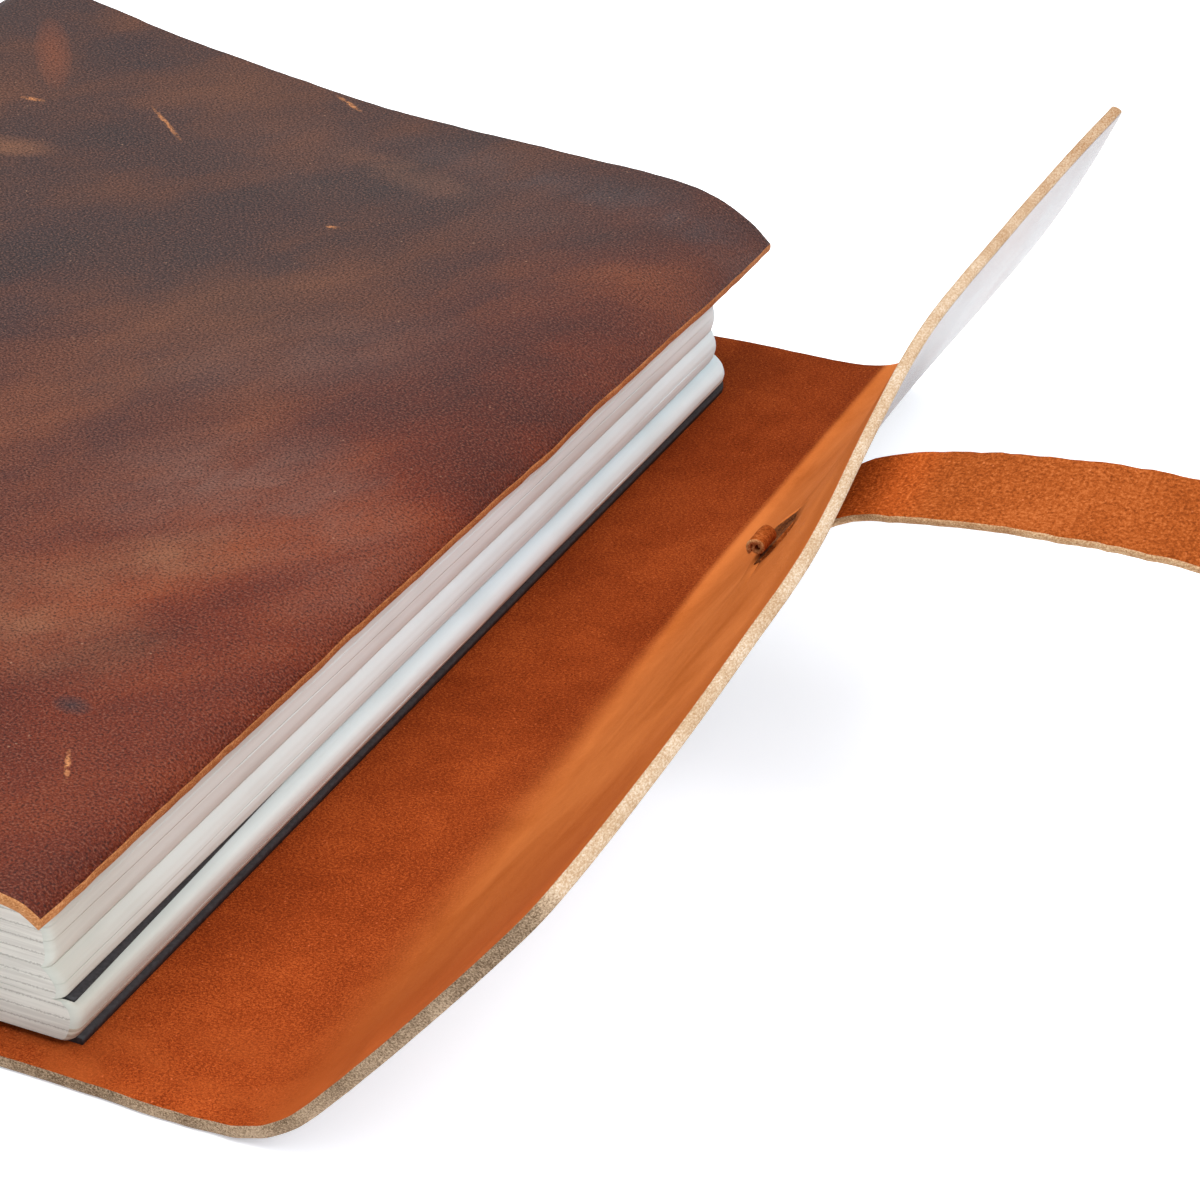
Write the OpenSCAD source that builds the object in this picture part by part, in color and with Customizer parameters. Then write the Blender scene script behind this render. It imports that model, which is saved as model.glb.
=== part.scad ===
// Wrap-around leather notebook cover holding three stitched notebooks, closed by a flap and a strap.
// The cover is one hide: front, spine, back, fore-edge strip and flap are its stretches between folds.
// Millimetres. +Z is up, +Y runs along the spine, and the fore edge is on the +X side.
// The origin is on the underside of the back panel, below the middle of the notebooks.

/* [Leather] */
// Thickness of the hide
leather_t = 1.8; // [1.4:0.1:2.2]
// Length of the cover along the spine
cover_l = 230; // [226:1:240]
// Length of the fore-edge strip, from the back panel to the crease of the flap
strip_w = 26.4; // [26:0.2:27]
// Length of the flap, from its crease to its free edge
flap_w = 61; // [55:1:70]
// Angle at which the flap stands up from the table
flap_angle = 55.5; // [50:0.5:60]
// Corner radius of the free corners
corner_r = 4; // [2:1:8]

/* [Notebooks] */
// Width of a notebook, from its fold to its fore edge
book_w = 148; // [146:1:148]
// Length of a notebook along its fold
book_l = 210; // [200:1:212]
// Distance from the near edge of the cover to the notebooks
book_inset = 5; // [4:1:8]
// Thickness of the card covers
card_t = 0.5; // [0.3:0.1:0.6]
// Height of the stack at the fore edge
stack_fore_h = 19.5; // [17:0.5:20]
// How much higher the stack is at the folds
stack_rise = 20.5; // [15:0.5:21]
// Corner radius of the leaves
leaf_r = 8; // [4:1:10]

/* [Strap] */
// Width of the strap
strap_w = 15; // [12:1:16]
// Thickness of the strap
strap_t = 1.4; // [1.2:0.1:1.6]
// Distance of the slit from the crease, along the flap
slit_at = 37.5; // [34:0.5:42]
// Length of the slit, along the crease
slit_l = 17; // [16:1:18]
// Width of the slit
slit_w = 2.2; // [2:0.1:2.6]

/* [Hidden] */
$fn = 48;

// Gap left at a fold between two stretches of the hide, half on each side of the fold line.
fold_gap = 0.3;
near_y = -cover_l / 2;
// How far a cutting shape runs past what it cuts.
cut_over = 1;

// Folds of the hide, on its inner (flesh) face: [x, z].
spine_fold = [-77, leather_t];
front_fold = [-77, 44.2];
fore_fold = [75.6, leather_t];
crease = [fore_fold.x + strip_w, leather_t];

// Middle line of the front panel, from its free fore edge to the spine: [x, z].
front_line = [
    [74.4, 22.6], [71.6, 25.6], [66, 27.6], [55, 29.4], [35, 30.6],
    [5, 32.6], [-25, 36], [-50, 40.6], [-76.8, 45.1]
];

// Notebooks.
book_gap = 0.2;
fold_x = -75.5;
fore_x = fold_x + book_w;
book_y = near_y + book_inset;
book_steps = 8;
leaf_gap = 0.3;
// How fast the stack opens towards the folds: 1 would be a plain wedge.
wedge_power = 1.2;
// Height of the plan cutter, above every notebook.
plan_h = 60;
gutter_w = 3.2;
gutter_h = 2.2;

// Stitching thread and elastic cords.
thread_r = 0.35;
thread_in = 0.5;
stitch_count = 4;
stitch_l = 30;
stitch_pitch = 50;
elastic_r = 0.7;
// Distances of an elastic's two runs from the fold, inside the notebook and outside it.
elastic_in = 2.8;
elastic_out = 0.75;
// How far an elastic stands off the two ends of the notebook, together.
elastic_slack = 0.6;
// How far thread and elastic sit below the middle of the gutter.
gutter_drop = 0.2;
knot_r = 1.6;

// Strap route along its middle line, from the slit out over the free edge of the flap and down
// to the table: [x, z].
strap_route = [
    [126.2, 31.6], [130, 37.4], [135, 42], [140, 44.2], [145, 45.4], [151, 46.6], [157, 47.4],
    [164, 48.1], [171, 48.6], [178, 48.8], [185, 48.8], [193, 48.2], [201, 46.6], [209, 43.6],
    [216, 39.4], [222, 34.4], [228, 28.4], [233, 22.8], [238, 17.4], [243, 12.4], [248, 8.2],
    [254, 4.6], [261, 2], [268, 0.9], [274, 0.7]
];
roll_x = 290;
roll_r = 32.2;
strap_end_x = roll_x - sqrt(roll_r * roll_r - (roll_r - strap_t) * (roll_r - strap_t));

leather_outside = [0.27, 0.15, 0.11];
leather_inside = [0.62, 0.29, 0.09];
card_black = [0.08, 0.08, 0.09];
paper_white = [0.93, 0.91, 0.87];

// Height of the stack's top at x.
function share(x) = max(0, (fore_x - x) / book_w);
function stack_top(x) = stack_fore_h + stack_rise * pow(share(x), wedge_power);
// Height of the boundary under notebook k, counted from 0 at the bottom, at x.
function level(k, x) = leather_t + k / 3 * (stack_top(x) - leather_t);

// Normal of a line of points at point i.
function unit(v) = v / norm(v);
function along(line, i) =
    unit(line[min(i + 1, len(line) - 1)] - line[max(i - 1, 0)]);
function normal(line, i) = [-along(line, i).y, along(line, i).x];
// Closed outline of a sheet of thickness t around a middle line.
function sheet_outline(line, t) = concat(
    [for (i = [0 : len(line) - 1]) line[i] + normal(line, i) * t / 2],
    [for (i = [len(line) - 1 : -1 : 0]) line[i] - normal(line, i) * t / 2]
);

// Extrudes an outline drawn in [x, z] from y to y + l.
module along_y(y, l) {
    translate([0, y + l, 0])
        rotate([90, 0, 0])
            linear_extrude(height = l)
                children();
}

// Rectangle from the origin to [w, l] with its two +x corners rounded.
module rounded_fore(w, l, r) {
    square([w - r, l]);
    translate([0, r])
        square([w, l - 2 * r]);
    for (y = [r, l - r])
        translate([w - r, y])
            circle(r = r);
}

module back_panel() {
    color(leather_inside)
        translate([spine_fold.x, near_y, 0])
            cube([fore_fold.x - spine_fold.x - fold_gap / 2, cover_l, leather_t]);
}

module spine_panel() {
    color(leather_outside)
        translate([spine_fold.x - leather_t, near_y, spine_fold.y + fold_gap / 2])
            cube([leather_t, cover_l, front_fold.y - spine_fold.y - fold_gap]);
}

module front_panel() {
    color(leather_outside)
        along_y(near_y, cover_l)
            polygon(sheet_outline(front_line, leather_t));
}

module fore_edge_strip() {
    color(leather_inside)
        translate([fore_fold.x + fold_gap / 2, near_y, 0])
            cube([strip_w - fold_gap, cover_l, leather_t]);
}

// Puts its children in the flap's own frame: x up the flap from the crease, z = 0 on its inner face.
module on_flap() {
    translate([crease.x, 0, crease.y])
        rotate([0, -flap_angle, 0])
            children();
}

module flap() {
    color(leather_inside)
        on_flap()
            difference() {
                translate([fold_gap / 2, near_y, -leather_t])
                    linear_extrude(height = leather_t)
                        rounded_fore(flap_w - fold_gap / 2, cover_l, corner_r);
                translate([slit_at - slit_w / 2, -slit_l / 2, -leather_t - cut_over])
                    cube([slit_w, slit_l, leather_t + 2 * cut_over]);
            }
}

// The strap's own end, pulled through the slit and curled over on the inside as a stop.
module strap_stop() {
    stop_l = strap_w - 1;
    curl_r = 1;
    curl_sink = 0.2;
    shank_below = 1.9;
    shank_above = 0.5;
    color(leather_inside)
        on_flap() {
            translate([slit_at - strap_t / 2, -stop_l / 2, -leather_t - shank_below])
                cube([strap_t, stop_l, leather_t + shank_below + shank_above]);
            translate([slit_at, stop_l / 2, curl_r - curl_sink])
                rotate([90, 0, 0])
                    cylinder(r = curl_r, h = stop_l);
        }
}

// Rings of four corners each, joined into one closed ribbon.
module strap() {
    line = concat(strap_route, [[strap_end_x, strap_t / 2]]);
    n = len(line);
    points = [
        for (i = [0 : n - 1])
            for (corner = [[-1, -1], [1, -1], [1, 1], [-1, 1]])
                let (p = line[i] + normal(line, i) * corner[1] * strap_t / 2)
                    [p.x, corner[0] * strap_w / 2, p.y]
    ];
    sides = [
        for (i = [0 : n - 2])
            for (k = [0 : 3])
                [4 * i + k, 4 * i + (k + 1) % 4, 4 * i + 4 + (k + 1) % 4, 4 * i + 4 + k]
    ];
    color(leather_inside)
        polyhedron(
            points = points,
            faces = concat([[3, 2, 1, 0]], sides, [[for (k = [0 : 3]) 4 * (n - 1) + k]])
        );
}

module strap_roll() {
    color(leather_inside)
        translate([roll_x, strap_w / 2, roll_r])
            rotate([90, 0, 0])
                cylinder(r = roll_r, h = strap_w, $fn = 96);
}

// Outline in [x, z] between two heights of notebook k, given as shares of its thickness,
// moved in by low and high, from x = from to x = to.
module between(k, low_share, high_share, low, high, from, to) {
    steps = [for (i = [1 : book_steps]) fold_x + book_w * i / book_steps];
    xs = concat([from], steps, to > fore_x ? [to] : []);
    function height(x, s) = level(k, x) + s * (level(k + 1, x) - level(k, x));
    polygon(concat(
        [for (x = xs) [x, height(x, low_share) + low]],
        [for (i = [len(xs) - 1 : -1 : 0]) [xs[i], height(xs[i], high_share) - high]]
    ));
}

// Cuts its children to the notebook's rounded plan.
module book_plan() {
    intersection() {
        children();
        translate([fold_x, book_y, 0])
            linear_extrude(height = plan_h)
                rounded_fore(book_w, book_l, leaf_r);
    }
}

// Folded card cover of notebook k.
module card(k) {
    color(card_black)
        book_plan()
            along_y(book_y, book_l)
                difference() {
                    between(k, 0, 1, 0, book_gap, fold_x, fore_x);
                    between(k, 0, 1, card_t, book_gap + card_t, fold_x + card_t, fore_x + cut_over);
                }
}

// Half of the leaves of notebook k: 0 is the half by the back card, 1 the half by the front card.
module leaves(k, half) {
    slack = 0.05;
    leaf_x = fold_x + card_t + slack;
    color(paper_white)
        book_plan()
            along_y(book_y, book_l)
                difference() {
                    if (half == 0)
                        between(k, 0, 0.5, card_t + slack, leaf_gap / 2, leaf_x, fore_x);
                    else
                        between(k, 0.5, 1, leaf_gap / 2, card_t + book_gap + slack, leaf_x, fore_x);
                    translate([fold_x, (level(k, fold_x) + level(k + 1, fold_x)) / 2 - gutter_h / 2])
                        square([card_t + gutter_w, gutter_h]);
                }
}

function gutter_z(k) = (level(k, fold_x) + level(k + 1, fold_x)) / 2 - gutter_drop;

// Saddle stitches of notebook k, seen in the gutter.
module thread(k) {
    color("ivory")
        for (i = [-(stitch_count - 1) / 2 : (stitch_count - 1) / 2])
            translate([fold_x + card_t + thread_in, book_y + book_l / 2 + i * stitch_pitch, gutter_z(k)])
                rotate([90, 0, 0])
                    cylinder(r = thread_r, h = stitch_l, center = true);
}

// Loop in plan, grown by r all round the line between its two straight runs.
module loop_plan(run_l, bend_r, r) {
    square([2 * (bend_r + r), run_l], center = true);
    for (end = [-1, 1])
        translate([0, end * run_l / 2])
            circle(r = bend_r + r);
}

// Elastic loop of notebook k: through the gutter, round both ends and back outside the fold,
// where its ends are tied.
module elastic(k) {
    run_l = book_l + elastic_slack;
    bend_r = (elastic_in + elastic_out) / 2;
    color("dimgray")
        translate([fold_x + elastic_in - bend_r, book_y + book_l / 2, gutter_z(k) - elastic_r])
            linear_extrude(height = 2 * elastic_r) {
                difference() {
                    loop_plan(run_l, bend_r, elastic_r);
                    loop_plan(run_l, bend_r, -elastic_r);
                }
                translate([0, run_l / 2 + bend_r])
                    circle(r = knot_r);
            }
}

// Front board of the upper notebook's card, split from the rest along the fold so that it can open.
module upper_book_front_card() {
    color(card_black)
        book_plan()
            along_y(book_y, book_l)
                between(2, 1, 1, -book_gap - card_t, book_gap, fold_x, fore_x);
}

// Back board and fold of the upper notebook's card.
module upper_book_back_card() {
    color(card_black)
        book_plan()
            along_y(book_y, book_l)
                difference() {
                    between(2, 0, 1, 0, book_gap + card_t + leaf_gap, fold_x, fore_x);
                    between(2, 0, 1, card_t, 0, fold_x + card_t, fore_x + cut_over);
                }
}

back_panel();
spine_panel();
front_panel();
fore_edge_strip();
flap();
strap();
strap_roll();
strap_stop();
card(0);  // lower_book_card
leaves(0, 0);  // lower_book_back_leaves
leaves(0, 1);  // lower_book_front_leaves
thread(0);  // lower_book_thread
elastic(0);  // lower_book_elastic
card(1);  // middle_book_card
leaves(1, 0);  // middle_book_back_leaves
leaves(1, 1);  // middle_book_front_leaves
thread(1);  // middle_book_thread
elastic(1);  // middle_book_elastic
upper_book_back_card();
upper_book_front_card();
leaves(2, 0);  // upper_book_back_leaves
leaves(2, 1);  // upper_book_front_leaves
thread(2);  // upper_book_thread
elastic(2);  // upper_book_elastic
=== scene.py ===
"""The looks of the wrap-around leather notebook cover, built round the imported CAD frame."""
import math
import random

import bpy
import numpy as np
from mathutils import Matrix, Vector, noise


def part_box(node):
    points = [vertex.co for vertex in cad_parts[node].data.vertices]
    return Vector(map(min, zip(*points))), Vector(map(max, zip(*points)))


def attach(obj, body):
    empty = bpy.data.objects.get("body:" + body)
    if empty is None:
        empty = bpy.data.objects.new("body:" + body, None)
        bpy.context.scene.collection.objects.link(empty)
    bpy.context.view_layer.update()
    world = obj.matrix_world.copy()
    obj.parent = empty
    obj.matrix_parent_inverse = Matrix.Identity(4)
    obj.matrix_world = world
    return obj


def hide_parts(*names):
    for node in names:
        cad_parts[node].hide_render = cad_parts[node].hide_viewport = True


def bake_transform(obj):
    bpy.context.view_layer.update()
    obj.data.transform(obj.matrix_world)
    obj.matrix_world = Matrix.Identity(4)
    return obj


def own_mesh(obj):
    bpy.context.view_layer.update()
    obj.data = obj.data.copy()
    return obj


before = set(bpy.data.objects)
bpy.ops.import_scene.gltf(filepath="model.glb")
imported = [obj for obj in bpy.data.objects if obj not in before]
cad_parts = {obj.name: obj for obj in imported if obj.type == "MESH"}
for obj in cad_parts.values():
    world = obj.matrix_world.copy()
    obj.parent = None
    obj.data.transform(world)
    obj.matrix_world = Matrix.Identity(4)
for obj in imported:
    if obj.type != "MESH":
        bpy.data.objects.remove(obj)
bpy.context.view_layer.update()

MM = 0.001


# ---- places, in mm, from the frame


def box_mm(node):
    """Lowest and highest corner of a CAD node, in millimetres."""
    low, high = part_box(node)
    return np.array(low) / MM, np.array(high) / MM


BACK_LOW, BACK_HIGH = box_mm("back_panel")
STOP_LOW, STOP_HIGH = box_mm("strap_stop")
ROLL_LOW, ROLL_HIGH = box_mm("strap_roll")
HIDE_T = BACK_HIGH[2] - BACK_LOW[2]
NEAR_Y, FAR_Y = BACK_LOW[1], BACK_HIGH[1]
LENGTH = FAR_Y - NEAR_Y
FORE_X = BACK_HIGH[0]
CREASE_X = box_mm("fore_edge_strip")[1][0]
# Slope of the flap where the strap goes through it.
FLAP_TILT = math.radians(55.5)


# ---- camera

CAMERA_AT = (0.287, -0.403, 0.275)
CAMERA_YAW = math.radians(25.3)
CAMERA_PITCH = math.radians(30.2)
CAMERA_LENS = 105


def add_object(name, data):
    obj = bpy.data.objects.new(name, data)
    bpy.context.scene.collection.objects.link(obj)
    return obj


def make_camera():
    data = bpy.data.cameras.new("camera")
    data.lens = CAMERA_LENS
    data.clip_start = 0.01
    camera = add_object("camera", data)
    camera.location = CAMERA_AT
    camera.rotation_euler = (math.pi / 2 - CAMERA_PITCH, 0, CAMERA_YAW)
    bpy.context.scene.camera = camera


make_camera()


# ---- node material helpers

class Nodes:
    """Builds one material's node tree with short calls."""

    def __init__(self, name):
        self.material = bpy.data.materials.new(name)
        self.material.use_nodes = True
        self.tree = self.material.node_tree
        self.shader = self.tree.nodes["Principled BSDF"]
        self.uv = self.add("ShaderNodeUVMap").outputs["UV"]
        self.place = self.add("ShaderNodeTexCoord").outputs["Object"]

    def add(self, kind, **values):
        node = self.tree.nodes.new(kind)
        for key, value in values.items():
            setattr(node, key, value)
        return node

    def link(self, source, socket):
        """Gives a socket a number, a colour or a link."""
        if isinstance(source, (int, float)):
            socket.default_value = source
        elif isinstance(source, tuple):
            socket.default_value = (*source, 1)[:len(socket.default_value)]
        else:
            self.tree.links.new(source, socket)

    def fill(self, node, **sockets):
        for key, value in sockets.items():
            self.link(value, node.inputs[key.replace("_", " ")])
        return node

    def stretch(self, source, scale):
        node = self.add("ShaderNodeVectorMath", operation="MULTIPLY")
        self.link(source, node.inputs[0])
        self.link(scale, node.inputs[1])
        return node.outputs[0]

    def turned(self, source, degrees, scale):
        """The map turned by an angle and then stretched, for streaks that lie askew."""
        node = self.fill(self.add("ShaderNodeMapping"), Vector=source,
                         Rotation=(0, 0, math.radians(degrees)))
        return self.stretch(node.outputs[0], scale)

    def noise(self, source, scale, detail, rough, warp=0.0):
        node = self.fill(self.add("ShaderNodeTexNoise"), Vector=source, Scale=scale, Detail=detail,
                         Roughness=rough, Distortion=warp)
        return node.outputs["Fac"]

    def cells(self, source, scale):
        node = self.fill(self.add("ShaderNodeTexVoronoi"), Vector=source, Scale=scale)
        return node.outputs["Distance"]

    def bands(self, direction, **sockets):
        node = self.add("ShaderNodeTexWave", wave_type="BANDS", bands_direction=direction)
        return self.fill(node, Vector=self.place, **sockets).outputs["Fac"]

    def ramp(self, source, *stops):
        """Maps a 0 to 1 value through (position, colour or grey) stops."""
        node = self.fill(self.add("ShaderNodeValToRGB"), Fac=source)
        marks = node.color_ramp.elements
        while len(marks) < len(stops):
            marks.new(0.5)
        for mark, (position, value) in zip(marks, stops):
            mark.position = position
            mark.color = (*value, 1) if isinstance(value, tuple) else (value, value, value, 1)
        return node.outputs["Color"]

    def mix(self, share, first, second, blend="MIX"):
        node = self.add("ShaderNodeMix", data_type="RGBA", blend_type=blend)
        self.link(share, node.inputs["Factor"])
        self.link(first, node.inputs[6])
        self.link(second, node.inputs[7])
        return node.outputs[2]

    def math(self, operation, first, second, clamp=False):
        node = self.add("ShaderNodeMath", operation=operation, use_clamp=clamp)
        self.link(first, node.inputs[0])
        self.link(second, node.inputs[1])
        return node.outputs[0]

    def plus(self, first, second, clamp=False):
        return self.math("ADD", first, second, clamp)

    def times(self, first, second, clamp=False):
        return self.math("MULTIPLY", first, second, clamp)

    def weigh(self, *parts):
        """Sum of (value, share) parts."""
        total = None
        for value, share in parts:
            part = self.times(value, share)
            total = part if total is None else self.plus(total, part)
        return total

    def split(self, source):
        return self.fill(self.add("ShaderNodeSeparateXYZ"), Vector=source).outputs

    def nearness(self, source, sign=-1):
        """0 at the cover's far end and 1 at its near end, or the other way round for sign 1."""
        along = self.times(self.split(source)["Y"], sign / (LENGTH * MM))
        return self.plus(along, 0.5, clamp=True)

    def marks(self):
        """The three numbers that make_hide leaves at each point."""
        layer = self.add("ShaderNodeVertexColor", layer_name="marks")
        return self.fill(self.add("ShaderNodeSeparateColor"), Color=layer.outputs["Color"]).outputs

    def bump(self, height, distance, strength, over=None):
        node = self.fill(self.add("ShaderNodeBump"), Height=height, Distance=distance, Strength=strength)
        if over is not None:
            self.link(over, node.inputs["Normal"])
        return node.outputs["Normal"]

    def patch(self, source, centre, size, turn, soft):
        """1 at the middle of an ellipse in the surface's own map, fading to 0 at its rim."""
        move = self.fill(self.add("ShaderNodeMapping", vector_type="TEXTURE"), Vector=source,
                         Location=(centre[0] * MM, centre[1] * MM, 0),
                         Rotation=(0, 0, math.radians(turn)), Scale=(size[0] * MM, size[1] * MM, 1))
        reach = self.add("ShaderNodeVectorMath", operation="LENGTH")
        self.link(move.outputs[0], reach.inputs[0])
        inside = self.math("SUBTRACT", 1.0, reach.outputs["Value"], clamp=True)
        return self.math("POWER", inside, soft)

    def finish(self, colour, rough, **sockets):
        self.fill(self.shader, Base_Color=colour, Roughness=rough, **sockets)
        return self.material


# ---- materials

# Width of the redder band along the hide's free fore edge, in mm.
RED_DEPTH = 60
# Depths of relief, in metres.
PORE_DEPTH = 0.0003
WRINKLE_DEPTH = 0.0012
NAP_DEPTH = 0.0006
FIBRE_DEPTH = 0.0004
STRAND_DEPTH = 0.0002
LEAF_DEPTH = 0.0001
# Stretch of a strap from its slit over which its colour is painted brighter, painted light against the
# flap's shadow, in metres.
ROOT_PAINTED_LIGHT = (0.012, 0.028)


def grain_leather(name, gloss, coat):
    """Dark oiled pull-up leather: soft streaks, tan where the wax has moved, a fine pebbled grain."""
    n = Nodes(name)
    streaks = n.turned(n.uv, -27, (1.0, 0.45, 1.0))
    broad = n.noise(streaks, 24, 3, 0.5, 0.15)
    middle = n.noise(streaks, 75, 5, 0.6, 0.2)
    fine = n.noise(n.uv, 2600, 3, 0.65)
    pebbles = n.cells(n.uv, 1700)
    tone = n.weigh((broad, 0.60), (middle, 0.40))
    base = n.ramp(tone, (0.37, (0.031, 0.023, 0.024)), (0.47, (0.047, 0.026, 0.024)),
                  (0.56, (0.077, 0.034, 0.024)), (0.66, (0.112, 0.047, 0.028)))
    # Redder leather along the free fore edge and the near end.
    nearness = n.nearness(n.uv)
    edge = n.ramp(n.times(n.split(n.uv)["X"], 1 / (RED_DEPTH * MM), clamp=True),
                  (0.0, 1.0), (0.22, 0.85), (0.7, 0.15), (1.0, 0.0))
    edge = n.times(edge, n.ramp(nearness, (0.0, 0.25), (0.35, 0.75), (1.0, 1.0)))
    red = n.plus(edge, n.ramp(nearness, (0.35, 0.0), (0.8, 0.75)), clamp=True)
    base = n.mix(red, base, n.ramp(tone, (0.38, (0.064, 0.009, 0.004)), (0.50, (0.114, 0.016, 0.005)),
                                   (0.62, (0.178, 0.033, 0.009))))
    # Places where the wax has pulled away, tan, and darker places; the two grey groups are painted haze, a
    # painted reflection of the pale surround.
    ragged = n.ramp(n.noise(streaks, 120, 5, 0.65, 0.3), (0.38, 0.25), (0.62, 1.0))
    for colour, places in (
        ((0.028, 0.022, 0.026), (
            ((107, 40), (22, 13), -60, 0.8), ((141, 104), (14, 12), 0, 0.7), ((121, 106), (14, 9), -20, 0.7),
            ((62, 8), (18, 11), -60, 0.6), ((90, 14), (20, 10), -60, 0.6), ((74, 60), (16, 10), -60, 0.5))),
        # Painted reflection: grey haze along the far end by the fore edge.
        ((0.055, 0.046, 0.050), (((14, 104), (26, 9), 0, 0.6), ((45, 104), (30, 8), 0, 0.5))),
        ((0.25, 0.110, 0.055), (
            ((121, 58), (10, 4), -35, 0.6), ((30, -39), (20, 9), -55, 0.6),
            ((38, -62), (24, 16), 0, 0.5), ((62, 92), (16, 6), 10, 0.3))),
        # Painted reflection: greyish haze on the front.
        ((0.16, 0.085, 0.066), (
            ((34, -15), (26, 18), -40, 0.6), ((11, -22), (14, 24), -20, 0.4),
            ((42, 26), (30, 14), -50, 0.35), ((60, 90), (60, 20), 0, 0.2))),
    ):
        share = 0.0
        for centre, size, turn, amount in places:
            patch = n.patch(n.uv, centre, size, turn, 0.8)
            share = n.plus(share, n.times(patch, amount))
        base = n.mix(n.times(share, ragged, clamp=True), base, colour)
    # A reddish streak by the spine, a dark oily spot and a few light scratches.
    streak = n.patch(n.uv, (134, 92), (14, 3.5), 55, 0.6)
    base = n.mix(n.times(streak, 0.6), base, (0.19, 0.055, 0.025))
    spot = n.patch(n.uv, (21, -76), (3.0, 2.2), 0, 0.6)
    base = n.mix(n.times(spot, 0.8), base, (0.02, 0.018, 0.022))
    scratches = 0.0
    for centre, size, turn in (
        ((105, 84), (7.0, 0.6), 35),
        ((127, 75), (2.5, 0.7), -30),
        ((62, 67), (1.4, 0.6), -20),
        ((84, 112), (0.7, 4.0), 115),
        ((14, -88), (0.5, 4.0), 150),
    ):
        scratches = n.plus(scratches, n.patch(n.uv, centre, size, turn, 0.7))
    broken = n.ramp(n.noise(n.uv, 900, 3, 0.7), (0.42, 0.0), (0.56, 1.0))
    base = n.mix(n.times(scratches, broken, clamp=True), base, (0.55, 0.22, 0.08))
    specks = n.ramp(n.cells(n.uv, 230), (0.030, 1.0), (0.05, 0.0))
    base = n.mix(n.times(specks, 0.45), base, (0.42, 0.24, 0.15))
    # The grain itself: dark pores between paler pebbles.
    base = n.mix(n.ramp(fine, (0.38, 0.75), (0.5, 0.0)), base, (0.010, 0.005, 0.004))
    base = n.mix(n.ramp(fine, (0.52, 0.0), (0.66, 0.42)), base, (0.25, 0.115, 0.075))
    height = n.weigh((pebbles, 0.6), (fine, 0.7))
    normal = n.bump(height, PORE_DEPTH, 0.75)
    normal = n.bump(n.noise(n.uv, 70, 4, 0.6), WRINKLE_DEPTH, 0.3, normal)
    rough = n.plus(n.times(middle, 0.30), 0.32)
    return n.finish(base, rough, Normal=normal, Specular_IOR_Level=gloss, Coat_Weight=coat,
                    Coat_Roughness=0.2, Coat_IOR=1.35)


def suede(name, dark, mid, light, nap=1.0, depth=1.0, worn_and_lit=None):
    """The flesh side: short orange nap, mottled, with pale specks on the raised fibres.
    nap scales how fine it is, and depth how deep. The last argument is the flap's (dark, mid, light), which
    the hide's marks bring in: partly smoother, worn leather and partly painted light, as the flap's face
    turned to the lamps is painted paler than the back."""
    n = Nodes(name)
    broad = n.noise(n.uv, 34, 5, 0.6, 0.6)
    patchy = n.noise(n.uv, 150, 5, 0.65, 0.5)
    fibres = n.noise(n.stretch(n.uv, (1.0, 1.35, 1.0)), 2100 * nap, 4, 0.7, 0.3)
    fine = n.noise(n.uv, 4200 * nap, 2, 0.7)
    tone = n.weigh((broad, 0.12), (patchy, 0.10), (fibres, 0.40), (fine, 0.38))
    colour = n.ramp(tone, (0.42, dark), (0.505, mid), (0.60, light))
    specks = n.ramp(n.cells(n.uv, 520), (0.05, 0.8), (0.10, 0.0))
    colour = n.mix(n.times(specks, fine), colour, tuple(min(1, 1.6 * c + 0.03) for c in light))
    height = n.weigh((fibres, 0.7), (fine, 0.35))
    strength = 0.7
    if worn_and_lit:
        flap, near, rim = n.marks()
        nearness = n.nearness(n.uv)
        # Painted light: the suede is darker towards the far end and brighter towards the near end, for how
        # the light falls along the trough between stack and flap.
        colour = n.mix(1.0, colour, n.ramp(nearness, (0.0, (0.82,) * 3), (0.6, (0.92,) * 3),
                                           (1.0, (1.25,) * 3)), "MULTIPLY")
        soft = n.weigh((broad, 0.6), (patchy, 0.15), (fibres, 0.25))
        # Partly painted light: the flap's face is painted paler than the back's suede, as well as worn
        # smoother.
        flap_worn_and_lit = n.ramp(soft, (0.38, worn_and_lit[0]), (0.5, worn_and_lit[1]), (0.62, worn_and_lit[2]))
        flap_worn_and_lit = n.mix(n.ramp(nearness, (0.72, 0.0), (0.95, 0.7)), flap_worn_and_lit, mid)
        flap_worn_and_lit = n.mix(n.ramp(rim, (0.1, 0.0), (0.6, 0.7)), flap_worn_and_lit, worn_and_lit[0])
        ragged = n.plus(rim, n.times(n.noise(n.uv, 900, 3, 0.6), 0.16))
        flap_worn_and_lit = n.mix(n.ramp(ragged, (1.0, 0.0), (1.06, 0.8)), flap_worn_and_lit, (0.72, 0.42, 0.19))
        colour = n.mix(flap, colour, flap_worn_and_lit)
        scuffed = n.ramp(n.noise(n.uv, 60, 5, 0.65, 0.5), (0.40, 0.0), (0.62, 1.0))
        colour = n.mix(n.times(n.times(near, scuffed), 0.75), colour, light)
        strength = n.math("SUBTRACT", 0.7, n.times(flap, 0.45))
    else:
        # Painted light: the strap is painted brighter and redder close to its slit, against the flap's
        # shadow on its root.
        colour = n.mix(1.0, colour, n.ramp(n.split(n.uv)["X"], (ROOT_PAINTED_LIGHT[0], (1.9, 1.4, 0.95)),
                                           (ROOT_PAINTED_LIGHT[1], (1, 1, 1))), "MULTIPLY")
    normal = n.bump(height, NAP_DEPTH * depth, strength)
    normal = n.bump(patchy, WRINKLE_DEPTH * depth, 0.3, normal)
    return n.finish(colour, 0.95, Normal=normal, Specular_IOR_Level=0.04)


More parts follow.
